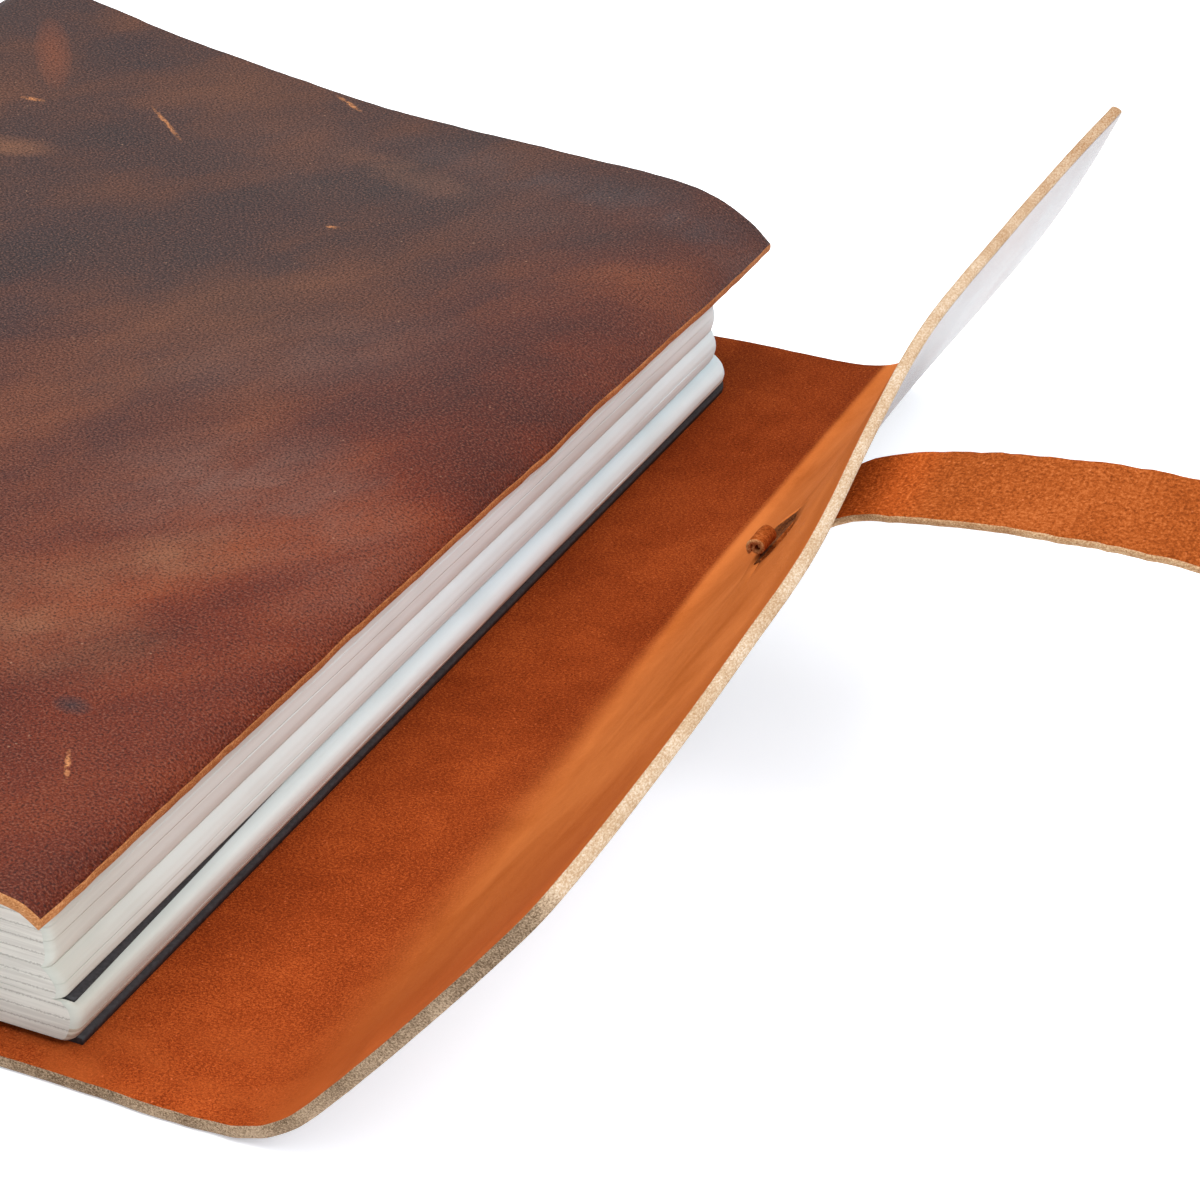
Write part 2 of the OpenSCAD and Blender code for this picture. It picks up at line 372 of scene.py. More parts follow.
def cut_edge(name, dark, mid, light, near=None, far=None):
    """Raw cut edge of the hide: pale fibre with darker specks in it.
    near is the darker tone of the near end's edge, painted shade, which the hide's marks bring in, and far
    the browner tone of the far end."""
    n = Nodes(name)
    fibre = n.noise(n.stretch(n.place, (1.0, 0.6, 1.4)), 3800, 3, 0.7, 0.2)
    broad = n.noise(n.place, 120, 4, 0.6)
    tone = n.weigh((fibre, 0.7), (broad, 0.3))
    colour = n.ramp(tone, (0.36, dark), (0.5, mid), (0.64, light))
    if near:
        end = n.ramp(n.nearness(n.uv, 1), (0.60, 0.0), (0.95, 0.75))
        colour = n.mix(end, colour, n.ramp(tone, (0.40, far), (0.62, mid)))
        # Painted shade: the edge at the near end is darkened.
        end = n.ramp(n.marks()[1], (0.93, 0.0), (0.995, 0.85))
        colour = n.mix(end, colour, n.ramp(tone, (0.40, near), (0.62, mid)))
    return n.finish(colour, 0.85, Normal=n.bump(fibre, FIBRE_DEPTH, 0.5), Specular_IOR_Level=0.1)


def paper(name, low, high, line_share, line_depth):
    """The leaves' edges: off-white, with finer or stronger lines between them."""
    n = Nodes(name)
    lines = n.noise(n.stretch(n.place, (0.03, 0.03, 1.0)), 2300, 2, 0.6)
    groups = n.noise(n.stretch(n.place, (0.02, 0.05, 1.0)), 420, 2, 0.5)
    broad = n.noise(n.place, 40, 3, 0.5)
    rest = 1 - line_share
    tone = n.weigh((lines, line_share), (groups, rest * 0.5), (broad, rest * 0.5))
    colour = n.ramp(tone, (0.40, low), (0.54, high))
    # The leaves are darker and browner towards the near end, and painted paler and bluer towards the far
    # end: painted light against the shade under the cover.
    tint = n.ramp(n.nearness(n.place), (0.0, (1.03, 1.08, 1.08)), (0.45, (1, 1, 1)),
                  (0.85, (0.88, 0.83, 0.76)), (0.97, (0.76, 0.68, 0.58)))
    colour = n.mix(1.0, colour, tint, "MULTIPLY")
    return n.finish(colour, 0.72, Normal=n.bump(lines, LEAF_DEPTH, line_depth), Specular_IOR_Level=0.2)


def paper_ends_shaded():
    """The near and far ends of the leaves, painted darker than their fore edges as painted shade on the
    ends, with a thin grey line between the sewn gatherings.
    """
    n = Nodes("paper_ends_shaded")
    gap = n.ramp(n.bands("Z", Scale=170, Distortion=1.2, Detail_Scale=20), (0.93, 0.0), (1.0, 1.0))
    leaves = n.noise(n.stretch(n.place, (0.03, 0.03, 1.0)), 2300, 2, 0.6)
    colour = n.ramp(leaves, (0.35, (0.50, 0.475, 0.43)), (0.6, (0.60, 0.575, 0.52)))
    colour = n.mix(n.times(gap, 0.65), colour, (0.26, 0.25, 0.22))
    return n.finish(colour, 0.8, Normal=n.bump(leaves, LEAF_DEPTH, 0.5), Specular_IOR_Level=0.15)


def card_stock():
    """Nearly black card, faintly flecked."""
    n = Nodes("card_stock")
    fleck = n.noise(n.place, 1400, 4, 0.6)
    colour = n.ramp(fleck, (0.35, (0.010, 0.010, 0.012)), (0.65, (0.032, 0.031, 0.036)))
    return n.finish(colour, 0.62, Normal=n.bump(fleck, LEAF_DEPTH, 0.3), Specular_IOR_Level=0.4)


def twisted(name, dark, light, pitch):
    """Thread or braided elastic: fine slanting strands."""
    n = Nodes(name)
    strands = n.bands("DIAGONAL", Scale=pitch, Distortion=1.5)
    colour = n.ramp(strands, (0.2, dark), (0.8, light))
    return n.finish(colour, 0.7, Normal=n.bump(strands, STRAND_DEPTH, 0.6), Specular_IOR_Level=0.3)


GRAIN = grain_leather("grain_leather", 0.13, 0.0)
GRAIN_WAXED = grain_leather("grain_leather_waxed", 0.4, 0.55)
SUEDE_BASE = suede("suede_hide", (0.125, 0.018, 0.003), (0.25, 0.040, 0.007), (0.43, 0.092, 0.019),
                   worn_and_lit=((0.40, 0.100, 0.018), (0.49, 0.135, 0.030), (0.56, 0.165, 0.040)))
SUEDE_STRAP = suede("suede_strap", (0.18, 0.036, 0.006), (0.30, 0.065, 0.011), (0.44, 0.120, 0.030),
                    nap=0.58, depth=0.8)
EDGE_TAN = cut_edge("edge_tan", (0.22, 0.075, 0.022), (0.40, 0.16, 0.055), (0.60, 0.30, 0.13))
EDGE_STRAP = cut_edge("edge_strap", (0.28, 0.13, 0.055), (0.46, 0.26, 0.13), (0.68, 0.47, 0.28))
EDGE_PALE = cut_edge("edge_pale", (0.34, 0.20, 0.10), (0.47, 0.33, 0.21), (0.62, 0.51, 0.40),
                     near=(0.07, 0.04, 0.022), far=(0.27, 0.125, 0.045))
# The slit's edges, and the tongue's in it, are painted nearly black: painted shade inside the slit.
EDGE_SLIT_SHADED = cut_edge("edge_slit_shaded", (0.05, 0.014, 0.006), (0.12, 0.035, 0.01), (0.25, 0.08, 0.02))
PAPER = paper("paper", (0.61, 0.70, 0.73), (0.68, 0.78, 0.82), 0.12, 0.1)
PAPER_CUT = paper("paper_cut", (0.42, 0.38, 0.34), (0.66, 0.67, 0.65), 0.6, 0.6)
PAPER_ENDS_SHADED = paper_ends_shaded()
CARD = card_stock()
THREAD = twisted("thread", (0.45, 0.42, 0.36), (0.74, 0.71, 0.63), 900)
ELASTIC = twisted("elastic", (0.008, 0.008, 0.009), (0.035, 0.034, 0.036), 700)


# ---- mesh helpers

# Points between two given ones on a smooth curve, before it is resampled.
CURVE_STEPS = 24
# How far a cut rim bulges, in mm, and where across its thickness it has points.
RIM_BULGE = 0.28
RIM_SHARES = (0.0, 0.18, 0.5, 0.82, 1.0)


def smooth(low, high, x):
    """0 below low, 1 above high, easing between."""
    t = np.clip((x - low) / (high - low), 0, 1)
    return t * t * (3 - 2 * t)


def wobble(x, y, size, seed):
    """Smooth noise in -1..1 at a place, with features of the given size in mm."""
    return noise.noise(Vector((x / size, y / size, seed)))


def directions(line):
    """Unit direction at each point of a line."""
    along = np.gradient(line, axis=0)
    return along / np.linalg.norm(along, axis=1)[:, None]


def distances(line):
    """How far along a line each of its points is."""
    return np.concatenate([[0], np.cumsum(np.linalg.norm(np.diff(line, axis=0), axis=1))])


def between(near, far, v):
    """Two lists of [x, z] points mixed, from near at v = 0 to far at v = 1."""
    return [(a[0] * (1 - v) + b[0] * v, a[1] * (1 - v) + b[1] * v) for a, b in zip(near, far)]


def curve_through(points, count):
    """A smooth curve through points, resampled at even steps."""
    p = np.array(points, float)
    ends = np.vstack([2 * p[0] - p[1], p, 2 * p[-1] - p[-2]])
    fine = []
    for i in range(1, len(ends) - 2):
        a, b, c, d = ends[i - 1], ends[i], ends[i + 1], ends[i + 2]
        for t in np.linspace(0, 1, CURVE_STEPS, endpoint=False):
            fine.append(0.5 * (2 * b + (c - a) * t + (2 * a - 5 * b + 4 * c - d) * t * t
                               + (3 * b - a - 3 * c + d) * t ** 3))
    fine.append(ends[-2])
    fine = np.array(fine)
    s = distances(fine)
    at = np.linspace(0, s[-1], count)
    return np.stack([np.interp(at, s, fine[:, k]) for k in range(fine.shape[1])], 1)


def add_mesh(name, vertices, faces, slots, materials, uvs=None):
    """Makes a mesh object from points in mm. slots gives each face's material."""
    mesh = bpy.data.meshes.new(name)
    mesh.from_pydata([tuple(v * MM for v in p) for p in vertices], [], faces)
    for material in materials:
        mesh.materials.append(material)
    mesh.polygons.foreach_set("material_index", slots)
    mesh.polygons.foreach_set("use_smooth", [True] * len(faces))
    if uvs is not None:
        layer = mesh.uv_layers.new(name="UVMap")
        corner = np.zeros(len(mesh.loops), int)
        mesh.loops.foreach_get("vertex_index", corner)
        layer.data.foreach_set("uv", (np.array(uvs)[corner] * MM).ravel())
    mesh.validate()
    mesh.update()
    return add_object(name, mesh)


def blank_grids(rows, columns):
    """Grids of points for a sheet's two sides, and of places in its map."""
    return tuple(np.zeros((rows, columns, size)) for size in (3, 3, 2))


def sheet_mesh(name, inner, outer, uv, materials, free=(True,) * 4, hole=None, marks=None):
    """A closed sheet between two grids of points. materials are (inner, outer, edge, hole's edge).
    free says which of its four rims (start, end, near, far) are cut edges, which bulge a little.
    hole is a block of cells left open, and marks gives each point's colour attribute."""
    rows, columns = inner.shape[:2]
    vertices = list(inner.reshape(-1, 3)) + list(outer.reshape(-1, 3))
    uvs = list(uv.reshape(-1, 2)) * 2
    tags = [] if marks is None else list(marks.reshape(-1, 3)) * 2
    back = rows * columns
    faces, slots = [], []

    def at(i, j):
        return i * columns + j

    for i in range(rows - 1):
        for j in range(columns - 1):
            if hole and hole[0] <= i < hole[1] and hole[2] <= j < hole[3]:
                continue
            a, b, c, d = at(i, j), at(i, j + 1), at(i + 1, j + 1), at(i + 1, j)
            faces += [(a, b, c, d), (back + d, back + c, back + b, back + a)]
            slots += [0, 1]

    def push(i, j):
        """How far the rim bulges out at a point: towards every free side that the point is on."""
        total = np.zeros(3)
        sides = ((i == 0, 1, j), (i == rows - 1, rows - 2, j),
                 (j == 0, i, 1), (j == columns - 1, i, columns - 2))
        for (on_side, i2, j2), is_free in zip(sides, free):
            if on_side and is_free:
                out = inner[i, j] + outer[i, j] - inner[i2, j2] - outer[i2, j2]
                total += out / max(np.linalg.norm(out), 1e-9)
        return total * RIM_BULGE

    def wall(loop, bulges, slot):
        """Closes the gap between the two sides along a closed loop of points."""
        rings = []
        for (i, j), bulge in zip(loop, bulges):
            top, low = np.array(vertices[at(i, j)]), np.array(vertices[back + at(i, j)])
            ring = []
            # Where one piece of the hide runs on into the next, its end has its own outermost
            # points, so that the surface is shaded straight across the join.
            own_ends = (i == 0 and not free[0]) or (i == rows - 1 and not free[1])
            for share in RIM_SHARES:
                if share in (0.0, 1.0) and not own_ends:
                    ring.append(at(i, j) + (back if share else 0))
                    continue
                vertices.append(top * (1 - share) + low * share + bulge * (1 - (2 * share - 1) ** 2))
                uvs.append(uv[i, j])
                if marks is not None:
                    tags.append(marks[i, j])
                ring.append(len(vertices) - 1)
            rings.append(ring)
        for one, two in zip(rings, rings[1:] + rings[:1]):
            for m in range(len(RIM_SHARES) - 1):
                faces.append((one[m], one[m + 1], two[m + 1], two[m]))
                slots.append(slot)

    def around(i0, i1, j0, j1):
        return ([(i0, j) for j in range(j0, j1)] + [(i, j1) for i in range(i0, i1)]
                + [(i1, j) for j in range(j1, j0, -1)] + [(i, j0) for i in range(i1, i0, -1)])

    rim = around(0, rows - 1, 0, columns - 1)
    wall(rim, [push(i, j) for i, j in rim], 2)
    if hole:
        rim = around(*hole)[::-1]
        wall(rim, [np.zeros(3)] * len(rim), 3)
    obj = add_mesh(name, vertices, faces, slots, materials, uvs)
    if marks is not None:
        layer = obj.data.color_attributes.new("marks", "FLOAT_COLOR", "POINT")
        layer.data.foreach_set("color", np.hstack([np.array(tags), np.ones((len(tags), 1))]).ravel())
    return obj


# ---- the strap, a free flat cord

STRAP_W = STOP_HIGH[1] - STOP_LOW[1] + 1
STRAP_T = 1.4
# Middle line of the strap in [x, z], the same points as in part.scad.
STRAP_ROUTE = [
    (126.2, 31.6), (130, 37.4), (135, 42), (140, 44.2), (145, 45.4), (151, 46.6), (157, 47.4),
    (164, 48.1), (171, 48.6), (178, 48.8), (185, 48.8), (193, 48.2), (201, 46.6), (209, 43.6),
    (216, 39.4), (222, 34.4), (228, 28.4), (233, 22.8), (238, 17.4), (243, 12.4), (248, 8.2),
    (254, 4.6), (261, 2), (268, 0.9), (274, 0.7)
]
# Where the strap starts to roll up on the table, in [x, z].
ROLL_START = (281, 0.7)
ROLL_TURNS = 3
# How much nearer the middle each turn lies.
ROLL_PITCH = 6.5
ROLL_STEPS = 24
# Length of the soft point at the strap's end.
TAPER = 16
STRAP_ROWS = 420
STRAP_COLUMNS = 17
ROLL_R = (ROLL_HIGH[0] - ROLL_LOW[0]) / 2 - STRAP_T / 2
ROLL_X = (ROLL_LOW[0] + ROLL_HIGH[0]) / 2


def roll_point(turn):
    """Point of the loose roll after a number of turns, from its lowest point inwards."""
    r = ROLL_R - ROLL_PITCH * turn
    angle = 2 * math.pi * turn
    return (ROLL_X + r * math.sin(angle), ROLL_R + STRAP_T / 2 - r * math.cos(angle))


def make_strap():
    turns = [roll_point(k / ROLL_STEPS) for k in range(ROLL_STEPS * ROLL_TURNS + 1)]
    line = curve_through(STRAP_ROUTE + [ROLL_START] + turns, STRAP_ROWS)
    along = directions(line)
    up = np.stack([-along[:, 1], along[:, 0]], 1)
    steps = distances(line)
    # The strap leans towards the near side as it arches, and lies flat again on the table.
    lean = np.radians((6 + 13 * smooth(0, 62, steps)) * (1 - smooth(70, 135, steps)))
    across = np.linspace(-0.5, 0.5, STRAP_COLUMNS) * STRAP_W
    inner, outer, uv = blank_grids(STRAP_ROWS, STRAP_COLUMNS)
    for i, (x, z) in enumerate(line):
        taper = 1 - 0.55 * smooth(steps[-1] - TAPER, steps[-1], steps[i])
        for j, y in enumerate(across):
            edge = abs(y) / (STRAP_W / 2)
            side = y * taper
            if edge > 0.8:
                side += 0.30 * wobble(steps[i], y, 5, 3.3) + 0.26 * wobble(steps[i], y, 1.6, 8.1)
            cup = 0.35 * (edge ** 2 - 0.4) * (1 - smooth(120, 150, steps[i]))
            thin = 1 - 0.25 * smooth(0.85, 1.0, edge)
            rough = 0.06 * wobble(steps[i], y, 2.2, 5.2)
            for grid, offset in ((inner, STRAP_T / 2 * thin + rough), (outer, -STRAP_T / 2 * thin)):
                rise = side * math.sin(lean[i]) + cup + offset
                grid[i, j] = (x + up[i, 0] * rise, side * math.cos(lean[i]), z + up[i, 1] * rise)
            uv[i, j] = (steps[i], y)
    strap = sheet_mesh("strap_leather", inner, outer, uv, (SUEDE_STRAP, GRAIN, EDGE_STRAP))
    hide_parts("strap", "strap_roll")
    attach(strap, "flap")
    return strap


strap = make_strap()


# ---- the hide

# Grain surface of the front in [x, z], from the free fore edge to the spine, at the two ends.
FRONT_NEAR = [
    (75, 25.3), (72.4, 27.2), (69, 27.8), (64, 28.2), (58, 28.6), (50, 29.2), (42, 29.9),
    (22, 31.5), (2, 33.2), (-20, 36), (-40, 39.6), (-58, 43.6)
]
FRONT_FAR = [
    (75, 21.4), (72.2, 23.9), (69, 26.1), (64, 28.5), (58, 30), (50, 30.7), (42, 31.1),
    (22, 32.4), (2, 33.8), (-20, 36.4), (-40, 39.8), (-58, 43.7)
]
SPINE_BEND = [
    (-68, 45.6), (-74, 45.8), (-77.6, 43.6), (-79, 39.4), (-79.5, 31), (-79.6, 23),
    (-79.3, 14), (-78.9, 7), (-77.8, 2.8), (-74.6, 0.5), (-70, 0)
]
# Rows of points along the front and round the spine, and the step of those along the back.
FRONT_COUNT = 96
SPINE_COUNT = 56
BASE_STEP = 2.0
# Length of the strip and flap past the fore fold, and how much longer they are at the far end.
FLAP_END = 88.8
FLAP_FLARE = 3
# The slit's first, middle and last row past the fore fold, where its columns end, and its half-length.
SLIT_FIRST, SLIT_S, SLIT_LAST = 64.2, 65.3, 66.4
SLIT_Y = 8.5
SLIT_HALF = 6.6
# How far the front's inner face stands back at its fore edge.
EDGE_BEVEL = 0.8
# Rows by which the pieces of the hide run past their folds.
SPINE_OVERRUN = 4
BACK_OVERRUN = 36
STRIP_OVERRUN = 4
# Rows next to the back within which the hide lies flat on the table.
FLAT_ROWS = 12
# Widths of the near end's scuffs and of the worn rim along the flap's free edge.
NEAR_WIDTH = 24
RIM_WIDTH = 8


def flap_facts(v):
    """Crease place, half-width of its bend and the two slopes of the flap, at v from near to far."""
    crease = 30 - 5 * smooth(0, 0.9, v)
    bend = 11 + 3 * v
    low_slope = 49 + 4 * smooth(0.05, 0.5, v)
    high_slope = 53 + 14 * smooth(0.32, 0.66, v)
    return crease, bend, math.radians(low_slope), math.radians(high_slope)


def flap_reach(v, y):
    """Length of the strip and flap past the fore fold: it widens a little towards the far end,
    and its corners are rounded."""
    reach = FLAP_END + FLAP_FLARE * v
    for end_distance, radius in ((y - NEAR_Y, 4.5), (FAR_Y - y, 1.2)):
        if end_distance < radius:
            reach -= radius - math.sqrt(radius ** 2 - (radius - max(end_distance, 0)) ** 2)
    return reach


def crisp_share(v):
    """How sharp the crease is: a soft bend at the near end, a sharp fold past the middle."""
    return smooth(0.3, 0.65, v)


def flap_angle(s, v):
    crease, bend, low_slope, high_slope = flap_facts(v)
    turned = smooth(crease - bend, crease + bend, s)
    sharp = (0.6 - 0.35 * smooth(0.8, 1, v)) * crisp_share(v)
    turned += (smooth(crease - 3, crease + 3, s) - turned) * sharp
    later = smooth(crease + bend, FLAP_END + FLAP_FLARE * v, s)
    return turned * (low_slope + (high_slope - low_slope) * later)


def base_lengths():
    """Distances past the fore fold at which the strip and flap have rows, finer near the crease."""
    rows = list(np.arange(1.0, 20, 1.6)) + list(np.arange(20, 42, 0.7))
    rows += list(np.arange(42, SLIT_FIRST, 1.3)) + [SLIT_FIRST, 64.75, SLIT_S, 65.85, SLIT_LAST]
    rows += list(np.arange(67.8, FLAP_END - 0.8, 1.3)) + [FLAP_END - 0.5, FLAP_END]
    return rows


FLAP_ROWS = base_lengths()
# Steps between two rows in which the flap's slope is followed.
FINE_STEPS = 6
SLIT_ROWS = (FLAP_ROWS.index(SLIT_FIRST), FLAP_ROWS.index(SLIT_LAST))


def hide_line(v, y):
    """The grain surface's whole path in [x, z] at v, from the front's fore edge to the flap's."""
    over = curve_through(between(FRONT_NEAR, FRONT_FAR, v) + SPINE_BEND, FRONT_COUNT + SPINE_COUNT)
    flat_x = np.arange(SPINE_BEND[-1][0] + BASE_STEP, FORE_X, BASE_STEP)
    base = np.stack([flat_x, np.zeros(len(flat_x))], 1)
    last_s, x, z = 0.0, FORE_X, 0.0
    rise = []
    stretch = flap_reach(v, y) / FLAP_END
    for row in FLAP_ROWS:
        s = row * (1 + (stretch - 1) * smooth(40, FLAP_END, row))
        for k in range(FINE_STEPS):
            step = (s - last_s) / FINE_STEPS
            angle = flap_angle(last_s + (k + 0.5) * step, v)
            x += step * math.cos(angle)
            z += step * math.sin(angle)
        last_s = s
        rise.append((x, z))
    return np.vstack([over, base, rise]), len(over), len(over) + len(base)


def near_far_columns():
    """Places along the spine for the columns: finer at the ends and at the slit."""
    ends = [0, 0.6, 1.4, 2.6, 4.4, 7]
    slit = [-SLIT_Y, -7.6, -6, -3, 0, 3, 6, 7.6, SLIT_Y]
    half = LENGTH / 2
    middle = list(np.arange(-half + 10, -9.5, 2.9))
    return ([-half + e for e in ends] + middle + slit + [-m for m in middle[::-1]]
            + [half - e for e in ends[::-1]])


COLUMNS = near_far_columns()
SLIT_COLUMNS = (COLUMNS.index(-SLIT_Y), COLUMNS.index(SLIT_Y))


def slit_pucker(row, y):
    """How far the leather is lifted inwards round the slit, most on the side of the crease."""
    along = max(0.0, 1 - (y / 11) ** 2)
    if row <= SLIT_S:
        return 1.5 * along * math.exp(-((SLIT_S - 1 - row) / 5) ** 2)
    return -0.5 * along * math.exp(-((row - SLIT_S - 1) / 5) ** 2)


def make_hide():
    """Grids of the hide's two surfaces, its map and its marks, and the rows where the back starts
    and ends. The marks say how much a point is on the flap, at the near end and at the flap's rim."""
    _, over_end, base_end = hide_line(0, NEAR_Y)
    total = base_end + len(FLAP_ROWS)
    inner, outer, uv = blank_grids(total, len(COLUMNS))
    marks = np.zeros_like(inner)
    for j, y in enumerate(COLUMNS):
        v = (y - NEAR_Y) / LENGTH
        line, _, _ = hide_line(v, y)
        crease, bend, _, _ = flap_facts(v)
        along = directions(line)
        out = np.stack([along[:, 1], -along[:, 0]], 1)
        s = distances(line)
        end = min(j, len(COLUMNS) - 1 - j) == 0
        for i, (x, z) in enumerate(line):
            u = s[i]
            near = smooth(NEAR_WIDTH, 2, y - NEAR_Y)
            thick = HIDE_T * (1 + 0.05 * wobble(u, y, 30, 1.7))
            place = y
            if end:
                place += 0.45 * wobble(u, y, 14, 4.4) + 0.2 * wobble(u, y, 3, 6.1)
            low = over_end - FLAT_ROWS <= i < base_end + FLAT_ROWS
            swell = 0 if low else 0.22 * wobble(u, y, 26, 9.2)
            flap_share = rim = 0
            if i >= base_end:
                past = s[i] - s[base_end - 1]
                swell -= slit_pucker(FLAP_ROWS[i - base_end], y)
                # Past the middle the flap's paler colour begins sharply at the crease: painted light for the
                # change of shading across the fold.
                spread = 7 - 6.2 * crisp_share(v)
                middle = crease + 2 - 3 * crisp_share(v)
                flap_share = smooth(middle - spread, middle + spread, past)
                rim = min(1.0, max(0.0, 1 - (s[-1] - s[i]) / RIM_WIDTH))
            marks[i, j] = (flap_share, near, rim)
            outer[i, j] = (x + out[i, 0] * swell, place, z + out[i, 1] * swell)
            inner[i, j] = (x + out[i, 0] * (swell - thick), place, z + out[i, 1] * (swell - thick))
            uv[i, j] = (u, y)
        past_edge = inner[0, j] - inner[2, j]
        inner[0, j] += past_edge / np.linalg.norm(past_edge) * EDGE_BEVEL
        # The free edges are cut by hand, so they wander a little.
        for i in (0, total - 1):
            shift = 0.35 * wobble(y, 0, 22, i + 0.5) + 0.15 * wobble(y, 0, 4, i + 2.5)
            for grid in (inner, outer):
                grid[i, j] += np.array([along[i, 0], 0, along[i, 1]]) * shift
    return inner, outer, uv, marks, over_end, base_end


def piece_of_hide(name, grids, start, end, materials, hole=None):
    """The hide between two rows, as its own closed sheet."""
    free = (start == 0, end == len(grids[0]) - 1, True, True)
    inner, outer, uv, marks = (g[start:end + 1] for g in grids)
    return sheet_mesh(name, inner, outer, uv, materials, free, hole, marks)


def build_cover():
    """The hide in four closed pieces: front, spine, base and flap."""
    inner, outer, uv, marks, over_end, base_end = make_hide()
    # The slit is a narrow lens: its rows close towards its ends.
    i0, i1 = base_end + SLIT_ROWS[0], base_end + SLIT_ROWS[1]
    j0, j1 = SLIT_COLUMNS
    for j in range(j0, j1 + 1):
        width = 0.05 + 0.95 * math.sqrt(max(0, 1 - (COLUMNS[j] / SLIT_HALF) ** 2))
        for grid in (inner, outer):
            centre = (grid[i0, j] + grid[i1, j]) / 2
            for i in range(i0, i1 + 1):
                grid[i, j] = centre + (grid[i, j] - centre) * width
    grids = (inner, outer, uv, marks)
    front_end = FRONT_COUNT + SPINE_COUNT // 2 + SPINE_OVERRUN
    back_mid = over_end + BACK_OVERRUN
    strip_mid = base_end + STRIP_OVERRUN
    front = piece_of_hide("hide_front", grids, 0, front_end, (SUEDE_BASE, GRAIN, EDGE_TAN))
    spine = piece_of_hide("hide_spine", grids, front_end, back_mid, (SUEDE_BASE, GRAIN, EDGE_TAN))
    base = piece_of_hide("hide_base", grids, back_mid, strip_mid, (SUEDE_BASE, GRAIN_WAXED, EDGE_PALE))
    flap = piece_of_hide("hide_flap", grids, strip_mid, len(inner) - 1,
                         (SUEDE_BASE, GRAIN_WAXED, EDGE_PALE, EDGE_SLIT_SHADED),
                         (i0 - strip_mid, i1 - strip_mid, j0, j1))
    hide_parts("front_panel")
    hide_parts("spine_panel")
    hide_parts("back_panel", "fore_edge_strip")
    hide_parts("flap")
    return front, spine, base, flap


front, spine, base, flap = build_cover()


def bend_pieces():
    """Bakes each piece of the hide's transform into its mesh."""
    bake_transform(front)
    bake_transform(spine)
    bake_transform(base)
    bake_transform(flap)


bend_pieces()


# ---- the strap's stop in the slit

# The stop's pieces are mapped past the strap's brightened root, this far on for each row, in mm.
RIBBON_START = 30
RIBBON_STEP = 0.4
RIBBON_COLUMNS = 13
# Distance up the flap from the strip's crease to the slit.
SLIT_UP = 39.4


def ribbon(name, line, across_of, half, edge):
    """A strip along a line of [x, z] points. across_of gives its two edges in y at each share of it."""
    along = directions(line)
    side = np.stack([-along[:, 1], along[:, 0]], 1)
    shares = np.linspace(0, 1, RIBBON_COLUMNS)
    inner, outer, uv = blank_grids(len(line), RIBBON_COLUMNS)
    for i, (x, z) in enumerate(line):
        low, high = across_of(i / (len(line) - 1))
        for j, share in enumerate(shares):
            y = low + (high - low) * share + 0.25 * wobble(i, share * 9, 4, 2.2)
            lump = 0.10 * wobble(i, share * 14, 3, 7.7)
            for grid, offset in ((inner, half), (outer, -half)):
                grid[i, j] = (x + side[i, 0] * (offset + lump), y, z + side[i, 1] * (offset + lump))
            uv[i, j] = (RIBBON_START + i * RIBBON_STEP, y)
    return sheet_mesh(name, inner, outer, uv, (SUEDE_STRAP, SUEDE_STRAP, edge))


def make_stop():
    """The strap's end: a tongue that comes up through the slit, and its near part rolled over."""
    up = np.array([math.cos(FLAP_TILT), math.sin(FLAP_TILT)])
    inward = np.array([-math.sin(FLAP_TILT), math.cos(FLAP_TILT)])
    at = np.array([CREASE_X, 0]) + up * SLIT_UP
    root = np.array(STRAP_ROUTE[0])
    tongue = curve_through([root + up * 0.2, at - inward * 1.4, at - inward * 0.7, at - inward * 0.2], 16)
    turn = np.linspace(-0.45, 1.05, 26) * 2 * math.pi
    centre = at + inward * 1.3 + up * 1.5
    roll = np.array([centre + (1.0 - 0.08 * t) * (math.cos(t) * up - math.sin(t) * inward) for t in turn])
    pieces = (
        # The tongue's cut edges are painted nearly black: painted shade in the slit.
        ribbon("strap_tongue", tongue, lambda t: (-7.4, 7.4), 0.75, EDGE_SLIT_SHADED),
        ribbon("strap_end_curl", roll, lambda t: (-7.0 + 0.7 * t, -2.2 - 0.8 * t), 0.34, EDGE_TAN),
    )
    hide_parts("strap_stop")
    for piece in pieces:
        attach(piece, "flap")


make_stop()


# ---- notebooks

BOOK_LOW, BOOK_HIGH = box_mm("lower_book_card")
STACK_HIGH = box_mm("upper_book_front_card")[1][2]
FOLD_X, BOOK_X = BOOK_LOW[0], BOOK_HIGH[0]
BOOK_NEAR, BOOK_FAR = BOOK_LOW[1], BOOK_HIGH[1]
# Height of the three books at the folds.
BOOKS_RISE = STACK_HIGH - HIDE_T
NEAR_LEAF_R, FAR_LEAF_R = 1.2, 6
# How far the cards stand back from the leaves' near end.
CARD_INSET = 1.0
# How far the lower book's top leaves are lifted at their near corner.
LOWER_PINCH = 0.75
# Places behind the fore edge at which leaves and cards have points.
BACK_XS = [BOOK_X - back for back in (30, 60, 90, 120)]
# Points of a fore edge's curve, and rows of them on each half of the leaves.
EDGE_POINTS = 45
EDGE_ROWS = 22

